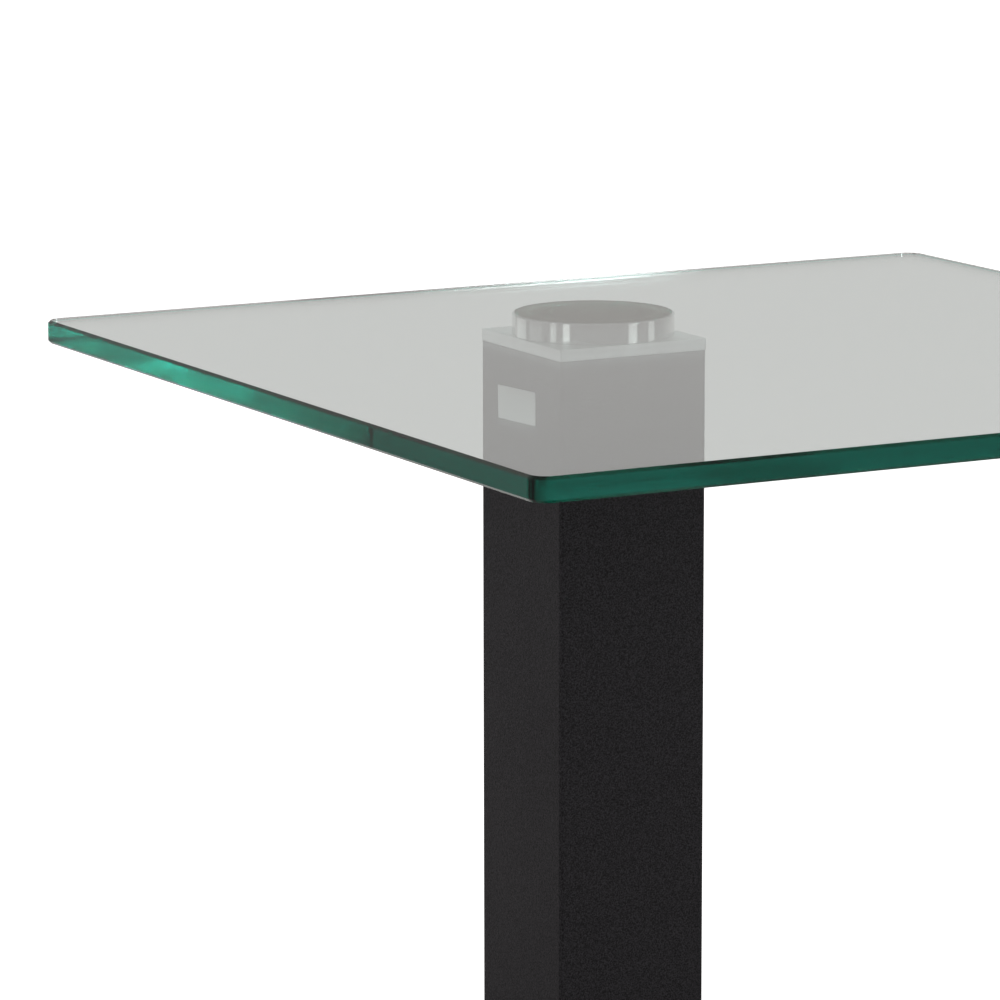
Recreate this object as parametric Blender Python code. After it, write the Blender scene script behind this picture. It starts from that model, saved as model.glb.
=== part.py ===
"""Display plinth: a square clear glass top on one square black post and a square steel base.

Metres, +Z up. The origin is on the floor under the middle of the glass top. The post stands
near the rear edge (+Y), so the glass overhangs towards the front (-Y). A rod runs down inside
the post, from the steel disc under the glass to a nut under the base, and clamps the stack.
"""

import math

import bmesh
import bpy

# Overall
HEIGHT = 0.750
FIT_GAP = 0.0003  # between pieces that touch
OVERSHOOT = 0.001  # of a hole's cutter, past the face it opens through
FASTENER_STEPS = 18  # points around a screw, nut or washer
ROUND_STEPS = 24  # points around a foot
DISC_STEPS = 48  # points around the disc under the glass

# Glass top
GLASS_SIDE = 0.450
GLASS_THICKNESS = 0.010
GLASS_CORNER = 0.008
GLASS_ARRIS = 0.001

# Post, near the rear edge of the glass
POST_SIDE = 0.073
POST_WALL = 0.003
POST_CORNER = 0.0018
POST_INSIDE_CORNER = 0.001
POST_FROM_REAR_EDGE = 0.090
POST_Y = GLASS_SIDE / 2 - POST_FROM_REAR_EDGE

# Disc and cap plate between the glass and the post
FILM_DIAMETER = 0.070
FILM_THICKNESS = 0.0002
DISC_DIAMETER = 0.072
DISC_THICKNESS = 0.0085
CAP_THICKNESS = 0.005
CAP_CORNER = 0.0006
CAP_ARRIS = 0.0003
DISC_ARRIS = 0.0004
DOWEL_DIAMETER = 0.005
DOWEL_LENGTH = 0.008
DOWEL_RADIUS = 0.022  # distance from the post's axis
DOWEL_ARRIS = 0.0004

# Blocks that hold the tube's ends in place
SPIGOT_HEIGHT = 0.018
SPIGOT_PLAY = 0.0004  # to the tube's inside faces
SPIGOT_CORNER = 0.002
SPIGOT_ARRIS = 0.0005
SPIGOT_THREAD_DEPTH = 0.012
SPIGOT_SCREW_SPACING = 0.044

# Tie rod
ROD_DIAMETER = 0.010
ROD_HOLE_DEPTH = 0.0065  # in the disc
ROD_END_BELOW_NUT = 0.0015
ROD_CHAMFER = 0.0008
ROD_WASHER_DIAMETER = 0.020
ROD_WASHER_THICKNESS = 0.002
SPRING_WASHER_DIAMETER = 0.0165
SPRING_WASHER_THICKNESS = 0.0020
SPRING_WASHER_SPLIT = math.radians(10)
ROD_NUT_FLATS = 0.016
ROD_NUT_HEIGHT = 0.008
NUT_BEVEL = 0.0006
NUT_FACE = 0.95  # diameter of a nut's round face, in widths across flats
ROD_COUNTERBORE_DIAMETER = 0.024
ROD_COUNTERBORE_DEPTH = 0.0045

# Base
BASE_SIDE = 0.400
BASE_THICKNESS = 0.012
BASE_CORNER = 0.008
BASE_ARRIS = 0.0005
BASE_SKIN = 0.002  # steel left above each foot's blind hole

# Levelling feet, screwed into the base near its corners
FOOT_INSET = 0.030
SOLE_DIAMETER = 0.032
SOLE_THICKNESS = 0.0015
PAD_DIAMETER = 0.033
PAD_HEIGHT = 0.0055
PAD_EDGE = 0.0006
PAD_SIDE_TOP = 0.0025  # where the upright side ends and the slope begins
PAD_SHOULDER = (0.029, 0.0041)  # diameter and height
PAD_CROWN_DIAMETER = 0.0165
SOLE_EDGE = 0.0003
PAD_SOCKET_FLOOR = 0.0012
PAD_LIP = 0.0018  # thickness of the lip that holds the stud's button down
BUTTON_DIAMETER = 0.010
NECK_DIAMETER = 0.0064
NECK_LENGTH = 0.0012  # visible between the pad and the hexagon
STUD_DIAMETER = 0.008
STUD_FLATS = 0.013
STUD_HEX_HEIGHT = 0.0035
STUD_END_GAP = 0.0008  # to the bottom of its blind hole
STUD_CHAMFER = 0.0007
LOCKNUT_HEIGHT = 0.004

# Screws: shank diameter, length, head diameter, head height, socket flats, socket depth
CAP_SCREW = (0.005, 0.0160, 0.0085, 0.0050, 0.0040, 0.0025)
FLAT_SCREW = (0.006, 0.0200, 0.0120, 0.0033, 0.0040, 0.0022)
FLAT_HEAD_RIM = 0.0003  # height of the straight rim below the cone
CAP_HEAD_EDGE = 0.0005
HEAD_FACE_INSET = 0.0004
SCREW_TIP = 0.0005
CAP_THREAD_SKIN = 0.0005  # steel left above the cap plate's tapped holes
CAP_SEAT_SKIN = 0.001  # from a cap screw's head to the spigot's underside

# Blank label on the post's left face
LABEL_LENGTH = 0.0345
LABEL_HEIGHT = 0.0147
LABEL_THICKNESS = 0.0002
LABEL_CORNER = 0.0010
LABEL_Y = 0.1383
LABEL_Z = 0.7008
LABEL_TILT = math.radians(-2)

# Heights, from the floor up and from the glass down
PAD_BOTTOM = SOLE_THICKNESS + FIT_GAP
PAD_TOP = PAD_BOTTOM + PAD_HEIGHT
HEX_BOTTOM = PAD_TOP + NECK_LENGTH
HEX_TOP = HEX_BOTTOM + STUD_HEX_HEIGHT
LOCKNUT_BOTTOM = HEX_TOP + FIT_GAP
BASE_BOTTOM = LOCKNUT_BOTTOM + LOCKNUT_HEIGHT + FIT_GAP
BASE_TOP = BASE_BOTTOM + BASE_THICKNESS
GLASS_BOTTOM = HEIGHT - GLASS_THICKNESS
FILM_BOTTOM = GLASS_BOTTOM - FIT_GAP - FILM_THICKNESS
DISC_TOP = FILM_BOTTOM - FIT_GAP
DISC_BOTTOM = DISC_TOP - DISC_THICKNESS
CAP_TOP = DISC_BOTTOM - FIT_GAP
CAP_BOTTOM = CAP_TOP - CAP_THICKNESS
TUBE_TOP = CAP_BOTTOM - FIT_GAP
TUBE_BOTTOM = BASE_TOP + FIT_GAP


def clear_scene():
    for item in list(bpy.data.objects):
        bpy.data.objects.remove(item, do_unlink=True)


def material(name, colour, roughness, metallic=0.0, transmission=0.0):
    made = bpy.data.materials.new(name)
    made.use_nodes = True
    shader = made.node_tree.nodes["Principled BSDF"]
    shader.inputs["Base Color"].default_value = (*colour, 1.0)
    shader.inputs["Roughness"].default_value = roughness
    shader.inputs["Metallic"].default_value = metallic
    shader.inputs["Transmission Weight"].default_value = transmission
    return made


def axis_empty(name, x, y):
    """An empty on a vertical axis, at floor level."""
    made = bpy.data.objects.new(name, None)
    made.location = (x, y, 0.0)
    bpy.context.collection.objects.link(made)
    return made


def solid(name, bm, finish, parent=None, z=0.0):
    """A named object from a bmesh, smooth across its gentle edges only."""
    mesh = bpy.data.meshes.new(name)
    bm.to_mesh(mesh)
    bm.free()
    mesh.shade_smooth()
    mesh.set_sharp_from_angle(angle=math.radians(30))
    mesh.materials.append(finish)
    made = bpy.data.objects.new(name, mesh)
    made.parent = parent
    made.location = (0.0, 0.0, z)
    bpy.context.collection.objects.link(made)
    return made


def round_ring(diameter, z, steps, centre=(0.0, 0.0)):
    turn = 2 * math.pi / steps
    radius = diameter / 2
    return [
        (centre[0] + radius * math.cos(i * turn), centre[1] + radius * math.sin(i * turn), z)
        for i in range(steps)
    ]


def hex_ring(flats, z, steps):
    """A hexagon with its corners and further points along its sides, at equal angles."""
    points = []
    for i in range(steps):
        angle = 2 * math.pi * i / steps
        from_flat = math.fmod(angle, math.pi / 3) - math.pi / 6
        reach = flats / 2 / math.cos(from_flat)
        points.append((reach * math.cos(angle), reach * math.sin(angle), z))
    return points


def square_ring(side, corner, z, corner_steps=6):
    """A square with rounded corners."""
    centre = side / 2 - corner
    points = []
    for quarter in range(4):
        middle = math.pi / 4 + quarter * math.pi / 2
        x = math.copysign(centre, math.cos(middle))
        y = math.copysign(centre, math.sin(middle))
        for step in range(corner_steps + 1):
            angle = quarter * math.pi / 2 + step / corner_steps * math.pi / 2
            points.append((x + corner * math.cos(angle), y + corner * math.sin(angle), z))
    return points


def stack(rings, joined=False, bm=None):
    """Bridge rings of equally many points into one closed body.

    Each ring runs anticlockwise seen from above. A body without a hole through it starts and
    ends with a flat cap. With joined, the last ring meets the first, as on a washer.
    """
    bm = bm or bmesh.new()
    loops = [[bm.verts.new(point) for point in ring] for ring in rings]
    following = loops[1:] + loops[:1] if joined else loops[1:]
    for lower, upper in zip(loops, following):
        for i in range(len(lower)):
            j = (i + 1) % len(lower)
            bm.faces.new((lower[i], lower[j], upper[j], upper[i]))
    if not joined:
        bm.faces.new(list(reversed(loops[0])))
        bm.faces.new(loops[-1])
    return bm


def square_plate(side, corner, height, arris, corner_steps=6):
    """A square plate with rounded corners and narrow chamfers, standing on z = 0."""
    return stack([
        square_ring(side - 2 * arris, corner - arris, 0.0, corner_steps),
        square_ring(side, corner, arris, corner_steps),
        square_ring(side, corner, height - arris, corner_steps),
        square_ring(side - 2 * arris, corner - arris, height, corner_steps),
    ])


def drill(target, holes):
    """Cut holes in a plate or block with one Boolean.

    Each hole is its centre and its profile, a list of (diameter, z) from its low end to its
    high end, in the target's own coordinates.
    """
    bm = bmesh.new()
    for centre, profile in holes:
        stack([round_ring(d, z, FASTENER_STEPS, centre) for d, z in profile], bm=bm)
    mesh = bpy.data.meshes.new(target.name + "_holes")
    bm.to_mesh(mesh)
    bm.free()
    cutter = bpy.data.objects.new(mesh.name, mesh)
    cutter.parent = target
    cutter.hide_render = True
    cutter.display_type = "WIRE"
    bpy.context.collection.objects.link(cutter)
    cut = target.modifiers.new("holes", "BOOLEAN")
    cut.operation = "DIFFERENCE"
    cut.solver = "EXACT"
    cut.object = cutter


def square_pattern(spacing):
    """Corners of a square around the axis, anticlockwise from front left."""
    half = spacing / 2
    return [(-half, -half), (half, -half), (half, half), (-half, half)]


def clearance(diameter):
    """The hole that a shank of this diameter passes with the fit gap all round."""
    return diameter + 2 * FIT_GAP


def glass_top(finish):
    bm = square_plate(GLASS_SIDE, GLASS_CORNER, GLASS_THICKNESS, GLASS_ARRIS, corner_steps=8)
    solid("glass_top", bm, finish, z=GLASS_BOTTOM)


def bond_film(finish, post):
    rings = [round_ring(FILM_DIAMETER, z, DISC_STEPS) for z in (0.0, FILM_THICKNESS)]
    solid("bond_film", stack(rings), finish, post, FILM_BOTTOM)


def glass_boss(finish, post):
    """The turned disc under the glass, with a blind hole for the rod and one for the dowel."""
    edge = DISC_ARRIS
    hole = clearance(ROD_DIAMETER)
    bm = stack([
        round_ring(hole, ROD_HOLE_DEPTH, DISC_STEPS),
        round_ring(hole, 0.0, DISC_STEPS),
        round_ring(DISC_DIAMETER - 2 * edge, 0.0, DISC_STEPS),
        round_ring(DISC_DIAMETER, edge, DISC_STEPS),
        round_ring(DISC_DIAMETER, DISC_THICKNESS - edge, DISC_STEPS),
        round_ring(DISC_DIAMETER - 2 * edge, DISC_THICKNESS, DISC_STEPS),
    ])
    disc = solid("glass_boss", bm, finish, post, DISC_BOTTOM)
    dowel_hole = [(clearance(DOWEL_DIAMETER), z) for z in (-OVERSHOOT, DOWEL_LENGTH / 2 + FIT_GAP)]
    drill(disc, [((0.0, -DOWEL_RADIUS), dowel_hole)])


def boss_dowel(finish, post):
    edge = DOWEL_ARRIS
    bm = stack([
        round_ring(DOWEL_DIAMETER - 2 * edge, 0.0, FASTENER_STEPS),
        round_ring(DOWEL_DIAMETER, edge, FASTENER_STEPS),
        round_ring(DOWEL_DIAMETER, DOWEL_LENGTH - edge, FASTENER_STEPS),
        round_ring(DOWEL_DIAMETER - 2 * edge, DOWEL_LENGTH, FASTENER_STEPS),
    ])
    dowel = solid("boss_dowel", bm, finish, post, DISC_BOTTOM - DOWEL_LENGTH / 2)
    dowel.location.y = -DOWEL_RADIUS


def cap_plate(finish, post):
    plate = solid(
        "cap_plate",
        square_plate(POST_SIDE, CAP_CORNER, CAP_THICKNESS, CAP_ARRIS),
        finish, post, CAP_BOTTOM,
    )
    through = [(clearance(ROD_DIAMETER), z) for z in (-OVERSHOOT, CAP_THICKNESS + OVERSHOOT)]
    tapped = [(clearance(CAP_SCREW[0]), z) for z in (-OVERSHOOT, CAP_THICKNESS - CAP_THREAD_SKIN)]
    dowel_hole = [
        (clearance(DOWEL_DIAMETER), z)
        for z in (CAP_THICKNESS - DOWEL_LENGTH / 2 - FIT_GAP, CAP_THICKNESS + OVERSHOOT)
    ]
    holes = [((0.0, 0.0), through), ((0.0, -DOWEL_RADIUS), dowel_hole)]
    holes += [(centre, tapped) for centre in square_pattern(SPIGOT_SCREW_SPACING)]
    drill(plate, holes)


def spigot_block():
    side = POST_SIDE - 2 * POST_WALL - 2 * SPIGOT_PLAY
    return square_plate(side, SPIGOT_CORNER, SPIGOT_HEIGHT, SPIGOT_ARRIS)


def top_spigot(finish, post):
    """Block inside the tube's top, screwed up into the cap plate from below."""
    block = solid("top_spigot", spigot_block(), finish, post, TUBE_TOP - SPIGOT_HEIGHT)
    shank, _, head, head_height, _, _ = CAP_SCREW
    seat = head_height + CAP_SEAT_SKIN
    through = [(clearance(ROD_DIAMETER), z) for z in (-OVERSHOOT, SPIGOT_HEIGHT + OVERSHOOT)]
    counterbore = [
        (clearance(head), -OVERSHOOT),
        (clearance(head), seat),
        (clearance(shank), seat),
        (clearance(shank), SPIGOT_HEIGHT + OVERSHOOT),
    ]
    holes = [((0.0, 0.0), through)]
    holes += [(centre, counterbore) for centre in square_pattern(SPIGOT_SCREW_SPACING)]
    drill(block, holes)
    return block.location.z + seat - FIT_GAP


def bottom_spigot(finish, post):
    """Block inside the tube's foot, held by four screws through the base."""
    block = solid("bottom_spigot", spigot_block(), finish, post, TUBE_BOTTOM)
    through = [(clearance(ROD_DIAMETER), z) for z in (-OVERSHOOT, SPIGOT_HEIGHT + OVERSHOOT)]
    tapped = [(clearance(FLAT_SCREW[0]), z) for z in (-OVERSHOOT, SPIGOT_THREAD_DEPTH)]
    holes = [((0.0, 0.0), through)]
    holes += [(centre, tapped) for centre in square_pattern(SPIGOT_SCREW_SPACING)]
    drill(block, holes)


def socket_screw(shape, flat_head):
    """A screw with its head down: z = 0 is the head's face, with a hexagon socket in it."""
    shank, length, head, head_height, flats, socket = shape
    steps = FASTENER_STEPS
    if flat_head:
        seat, top = [round_ring(head, FLAT_HEAD_RIM, steps)], length
    else:
        seat = [round_ring(head, z, steps) for z in (CAP_HEAD_EDGE, head_height)]
        top = length + head_height
    return stack([
        hex_ring(flats, socket, steps),
        hex_ring(flats, 0.0, steps),
        round_ring(head - 2 * HEAD_FACE_INSET, 0.0, steps),
        *seat,
        round_ring(shank, head_height, steps),
        round_ring(shank, top - SCREW_TIP, steps),
        round_ring(shank - 2 * SCREW_TIP, top, steps),
    ])


def screws(name, shape, flat_head, finish, post, z):
    for number, (x, y) in enumerate(square_pattern(SPIGOT_SCREW_SPACING), 1):
        screw = solid(f"{name}_{number}", socket_screw(shape, flat_head), finish, post, z)
        screw.location.x, screw.location.y = x, y


def post_tube(finish, post):
    inside = POST_SIDE - 2 * POST_WALL
    length = TUBE_TOP - TUBE_BOTTOM
    bm = stack([
        square_ring(inside, POST_INSIDE_CORNER, 0.0),
        square_ring(POST_SIDE, POST_CORNER, 0.0),
        square_ring(POST_SIDE, POST_CORNER, length),
        square_ring(inside, POST_INSIDE_CORNER, length),
    ], joined=True)
    solid("post_tube", bm, finish, post, TUBE_BOTTOM)


def label(finish):
    """A blank sticker, standing on edge against the post's left face."""
    outline = []
    for corner_x, corner_y, start in ((1, 1, 0), (-1, 1, 1), (-1, -1, 2), (1, -1, 3)):
        x = corner_x * (LABEL_LENGTH / 2 - LABEL_CORNER)
        y = corner_y * (LABEL_HEIGHT / 2 - LABEL_CORNER)
        for step in range(4):
            angle = (start + step / 3) * math.pi / 2
            point = (x + LABEL_CORNER * math.cos(angle), y + LABEL_CORNER * math.sin(angle))
            outline.append(point)
    rings = [[(x, y, z) for x, y in outline] for z in (0.0, LABEL_THICKNESS)]
    sticker = solid("label", stack(rings), finish)
    sticker.location = (-POST_SIDE / 2 - FIT_GAP, LABEL_Y, LABEL_Z)
    sticker.rotation_euler = (math.pi / 2, LABEL_TILT, -math.pi / 2)


def base_plate(finish):
    plate = solid(
        "base_plate",
        square_plate(BASE_SIDE, BASE_CORNER, BASE_THICKNESS, BASE_ARRIS),
        finish, z=BASE_BOTTOM,
    )
    over = BASE_THICKNESS + OVERSHOOT
    rod_hole = [
        (ROD_COUNTERBORE_DIAMETER, -OVERSHOOT),
        (ROD_COUNTERBORE_DIAMETER, ROD_COUNTERBORE_DEPTH),
        (clearance(ROD_DIAMETER), ROD_COUNTERBORE_DEPTH),
        (clearance(ROD_DIAMETER), over),
    ]
    shank, _, head, head_height, _, _ = FLAT_SCREW
    head_rim = FLAT_HEAD_RIM + FIT_GAP
    screw_hole = [
        (clearance(head), -OVERSHOOT),
        (clearance(head), 2 * head_rim),
        (clearance(shank), head_height + 2 * head_rim),
        (clearance(shank), over),
    ]
    stud_hole = [(clearance(STUD_DIAMETER), z) for z in (-OVERSHOOT, BASE_THICKNESS - BASE_SKIN)]
    holes = [((0.0, POST_Y), rod_hole)]
    for x, y in square_pattern(SPIGOT_SCREW_SPACING):
        holes.append(((x, POST_Y + y), screw_hole))
    for centre in square_pattern(BASE_SIDE - 2 * FOOT_INSET):
        holes.append((centre, stud_hole))
    drill(plate, holes)


def washer(outside, hole, thickness):
    steps = FASTENER_STEPS
    return stack([
        round_ring(outside, 0.0, steps),
        round_ring(outside, thickness, steps),
        round_ring(hole, thickness, steps),
        round_ring(hole, 0.0, steps),
    ], joined=True)


def spring_washer():
    """A square-section ring with a narrow split."""
    inner, outer = clearance(ROD_DIAMETER) / 2, SPRING_WASHER_DIAMETER / 2
    sections = []
    for step in range(FASTENER_STEPS + 1):
        part = step / FASTENER_STEPS
        angle = SPRING_WASHER_SPLIT / 2 + part * (2 * math.pi - SPRING_WASHER_SPLIT)
        corners = ((inner, 0), (inner, 1), (outer, 1), (outer, 0))
        sections.append([
            (r * math.cos(angle), r * math.sin(angle), up * SPRING_WASHER_THICKNESS)
            for r, up in corners
        ])
    return stack(sections)


def nut(flats, hole, height):
    """A hexagon nut with its corners turned down top and bottom."""
    steps = FASTENER_STEPS
    return stack([
        round_ring(hole, 0.0, steps),
        round_ring(flats * NUT_FACE, 0.0, steps),
        hex_ring(flats, NUT_BEVEL, steps),
        hex_ring(flats, height - NUT_BEVEL, steps),
        round_ring(flats * NUT_FACE, height, steps),
        round_ring(hole, height, steps),
    ], joined=True)


def tie_rod(steel, post):
    """The rod, with its washer, spring washer and nut below the base."""
    washer_z = BASE_BOTTOM + ROD_COUNTERBORE_DEPTH - FIT_GAP - ROD_WASHER_THICKNESS
    spring_z = washer_z - FIT_GAP - SPRING_WASHER_THICKNESS
    nut_z = spring_z - FIT_GAP - ROD_NUT_HEIGHT
    hole = clearance(ROD_DIAMETER)
    solid("tie_washer", washer(ROD_WASHER_DIAMETER, hole, ROD_WASHER_THICKNESS),
          steel, post, washer_z)
    solid("tie_spring_washer", spring_washer(), steel, post, spring_z)
    solid("tie_nut", nut(ROD_NUT_FLATS, hole, ROD_NUT_HEIGHT), steel, post, nut_z)
    low = nut_z - ROD_END_BELOW_NUT
    length = DISC_BOTTOM + ROD_HOLE_DEPTH - 2 * FIT_GAP - low
    edge = ROD_CHAMFER
    bm = stack([
        round_ring(ROD_DIAMETER - 2 * edge, 0.0, FASTENER_STEPS),
        round_ring(ROD_DIAMETER, edge, FASTENER_STEPS),
        round_ring(ROD_DIAMETER, length - edge, FASTENER_STEPS),
        round_ring(ROD_DIAMETER - 2 * edge, length, FASTENER_STEPS),
    ])
    solid("tie_rod", bm, steel, post, low)


def foot_pad():
    """Low round foot with a socket whose lip holds the stud's button."""
    steps = ROUND_STEPS
    roof = PAD_HEIGHT - PAD_LIP
    button = clearance(BUTTON_DIAMETER)
    mouth = clearance(NECK_DIAMETER)
    return stack([
        round_ring(PAD_DIAMETER - 2 * PAD_EDGE, 0.0, steps),
        round_ring(PAD_DIAMETER, PAD_EDGE, steps),
        round_ring(PAD_DIAMETER, PAD_SIDE_TOP, steps),
        round_ring(*PAD_SHOULDER, steps),
        round_ring(PAD_CROWN_DIAMETER, PAD_HEIGHT, steps),
        round_ring(mouth, PAD_HEIGHT, steps),
        round_ring(mouth, roof, steps),
        round_ring(button, roof, steps),
        round_ring(button, PAD_SOCKET_FLOOR, steps),
    ])


def foot_sole():
    return stack([
        round_ring(SOLE_DIAMETER - 2 * SOLE_EDGE, 0.0, ROUND_STEPS),
        round_ring(SOLE_DIAMETER, SOLE_EDGE, ROUND_STEPS),
        round_ring(SOLE_DIAMETER, SOLE_THICKNESS, ROUND_STEPS),
    ])


def foot_stud():
    """Button, neck, hexagon and threaded shank in one piece. z = 0 is the floor."""
    steps = FASTENER_STEPS
    button_low = PAD_BOTTOM + PAD_SOCKET_FLOOR + FIT_GAP
    button_high = PAD_TOP - PAD_LIP - FIT_GAP
    top = BASE_TOP - BASE_SKIN - STUD_END_GAP
    return stack([
        round_ring(BUTTON_DIAMETER, button_low, steps),
        round_ring(BUTTON_DIAMETER, button_high, steps),
        round_ring(NECK_DIAMETER, button_high, steps),
        round_ring(NECK_DIAMETER, HEX_BOTTOM, steps),
        round_ring(STUD_FLATS * NUT_FACE, HEX_BOTTOM, steps),
        hex_ring(STUD_FLATS, HEX_BOTTOM + NUT_BEVEL, steps),
        hex_ring(STUD_FLATS, HEX_TOP - NUT_BEVEL, steps),
        round_ring(STUD_FLATS * NUT_FACE, HEX_TOP, steps),
        round_ring(STUD_DIAMETER, HEX_TOP, steps),
        round_ring(STUD_DIAMETER, top - STUD_CHAMFER, steps),
        round_ring(STUD_DIAMETER - 2 * STUD_CHAMFER, top, steps),
    ])


def levelling_feet(steel, plastic, rubber):
    for number, (x, y) in enumerate(square_pattern(BASE_SIDE - 2 * FOOT_INSET), 1):
        axis = axis_empty(f"foot_axis_{number}", x, y)
        solid(f"foot_sole_{number}", foot_sole(), rubber, axis)
        solid(f"foot_pad_{number}", foot_pad(), plastic, axis, PAD_BOTTOM)
        solid(f"foot_stud_{number}", foot_stud(), steel, axis)
        hole = clearance(STUD_DIAMETER)
        locknut = nut(STUD_FLATS, hole, LOCKNUT_HEIGHT)
        solid(f"foot_locknut_{number}", locknut, steel, axis, LOCKNUT_BOTTOM)


def main():
    clear_scene()
    glass = material("clear_glass", (0.86, 0.96, 0.92), 0.02, transmission=1.0)
    adhesive = material("clear_adhesive", (0.80, 0.82, 0.80), 0.10, transmission=0.9)
    turned_steel = material("turned_steel", (0.62, 0.61, 0.60), 0.28, metallic=1.0)
    brushed_steel = material("brushed_steel", (0.66, 0.66, 0.65), 0.32, metallic=1.0)
    black_paint = material("black_powder_coat", (0.025, 0.023, 0.026), 0.60)
    zinc = material("zinc_plated_steel", (0.58, 0.58, 0.56), 0.38, metallic=1.0)
    aluminium = material("milled_aluminium", (0.74, 0.74, 0.75), 0.40, metallic=1.0)
    black_plastic = material("black_nylon", (0.03, 0.03, 0.03), 0.50)
    black_rubber = material("black_rubber", (0.02, 0.02, 0.02), 0.85)
    paper = material("label_paper", (0.72, 0.72, 0.70), 0.60)

    post = axis_empty("post_axis", 0.0, POST_Y)
    glass_top(glass)
    bond_film(adhesive, post)
    glass_boss(turned_steel, post)
    boss_dowel(zinc, post)
    cap_plate(brushed_steel, post)
    screw_seat = top_spigot(aluminium, post)
    screws("spigot_screw", CAP_SCREW, False, zinc, post, screw_seat - CAP_SCREW[3])
    post_tube(black_paint, post)
    label(paper)
    bottom_spigot(aluminium, post)
    screws("base_screw", FLAT_SCREW, True, zinc, post, BASE_BOTTOM + FIT_GAP)
    base_plate(black_paint)
    tie_rod(zinc, post)
    levelling_feet(zinc, black_plastic, black_rubber)


main()
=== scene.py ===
"""Looks of the display plinth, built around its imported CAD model. Metres, +Z up."""

import math

import bmesh
import bpy
from mathutils import Matrix, Vector


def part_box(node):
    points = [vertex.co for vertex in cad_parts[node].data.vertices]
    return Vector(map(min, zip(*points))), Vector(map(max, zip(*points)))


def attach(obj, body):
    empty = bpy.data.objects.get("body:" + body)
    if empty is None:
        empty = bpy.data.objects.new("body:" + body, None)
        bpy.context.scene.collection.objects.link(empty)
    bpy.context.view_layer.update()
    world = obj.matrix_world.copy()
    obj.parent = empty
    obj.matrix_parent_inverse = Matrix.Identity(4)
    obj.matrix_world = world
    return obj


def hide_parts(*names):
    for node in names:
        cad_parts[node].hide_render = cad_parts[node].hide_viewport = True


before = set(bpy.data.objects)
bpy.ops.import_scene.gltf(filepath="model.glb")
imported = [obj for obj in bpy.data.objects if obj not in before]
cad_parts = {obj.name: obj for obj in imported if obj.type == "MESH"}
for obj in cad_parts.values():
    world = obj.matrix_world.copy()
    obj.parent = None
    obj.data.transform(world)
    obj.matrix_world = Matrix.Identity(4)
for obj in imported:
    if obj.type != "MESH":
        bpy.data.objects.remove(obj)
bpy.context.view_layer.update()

HAIR = 0.00005  # how far a bonded or clamped face stands off its neighbour
PLAY = 0.0003  # the fit gap of the CAD model
OVERSHOOT = 0.001  # of a hole's cutter, past the face it opens through

# Corners and edges
GLASS_CORNER, GLASS_ARRIS = 0.0080, 0.0012
CAP_CORNER, CAP_EDGE = 0.0006, 0.0003
POST_CORNER, POST_INSIDE_CORNER, POST_WALL = 0.0018, 0.0010, 0.0030
BASE_CORNER, BASE_EDGE = 0.0080, 0.0006

# Label
LABEL_LENGTH, LABEL_HEIGHT, LABEL_CORNER = 0.0345, 0.0147, 0.0010
LABEL_THICKNESS, LABEL_LIFT = 0.00012, 0.00028
LABEL_TILT = math.radians(-2)

# Threads and hexagons
ROD_DIAMETER, ROD_PITCH, ROD_THREAD_LENGTH = 0.0100, 0.0015, 0.0300
ROD_WAIST, ROD_CHAMFER = 0.0006, 0.0009  # the plain part is thinner than the thread
STUD_DIAMETER, STUD_PITCH, STUD_CHAMFER = 0.0080, 0.00125, 0.0007
THREAD_DEPTH = 0.58  # in pitches
ROD_NUT_FLATS, STUD_FLATS, STUD_HEX_HEIGHT = 0.0160, 0.0130, 0.0035
NUT_FACE = 0.95  # diameter of a nut's round face, in widths across flats
NUT_SLOPE = math.tan(math.radians(30))  # of the cone that takes its corners off

# Screws and the holes for them
SCREW_DIAMETER, SCREW_SINK_DIAMETER = 0.0060, 0.0126
SCREW_SINK_RIM, SCREW_SINK_DEPTH = 0.0012, 0.0045  # where the sink's cone starts and ends
SCREW_SOCKET, SCREW_SOCKET_DEPTH = 0.0040, 0.0022
SCREW_HEAD_HEIGHT, SCREW_TIP = 0.0033, 0.0008
DOWEL_DIAMETER, DOWEL_RADIUS = 0.0050, 0.0220
CAP_SCREW_DIAMETER = 0.0050
SCREW_SPACING = 0.0440
ROD_BORE_DIAMETER, ROD_BORE_DEPTH, ROD_BORE_CHAMFER = 0.0240, 0.0045, 0.0008
STUD_END_GAP = 0.0008

# Levelling feet
BUTTON_RADIUS, NECK_RADIUS = 0.0050, 0.0032  # of the stud, in its pad
PAD_RIM, PAD_SHOULDER, PAD_CROWN_RADIUS = 0.0026, (0.0147, 0.0041), 0.0085
PAD_LIP, PAD_MOUTH_RADIUS, PAD_SOCKET_RADIUS, PAD_SOCKET_FLOOR = 0.0018, 0.0035, 0.0053, 0.0012
SOLE_DIMPLE = [(0.0040, 0.0005), (0.0052, 0.0)]
SOLE_GROOVES, SOLE_GROOVE_START, SOLE_GROOVE_PITCH = 3, 0.0068, 0.0028
SOLE_GROOVE = ((0.0, 0.0), (0.0003, 0.0005), (0.0011, 0.0005), (0.0014, 0.0))  # (across, deep)

# Points around round pieces
LATHE_STEPS = 128
FOOT_STEPS = 96
NUT_STEPS = 72
SMALL_STEPS = 60
THREAD_STEPS = 48
THREAD_ROWS = 12  # per turn

# Camera
CAMERA_LENS, CAMERA_SENSOR, CAMERA_REACH = 194.26, 36.0, 200.0
CAMERA_PLACE = (-1.1514, -1.9200, 1.0959)
CAMERA_HEADING, CAMERA_PITCH = math.radians(-28.258), math.radians(10.383)
CAMERA_ROLL = math.radians(-0.097)

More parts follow.
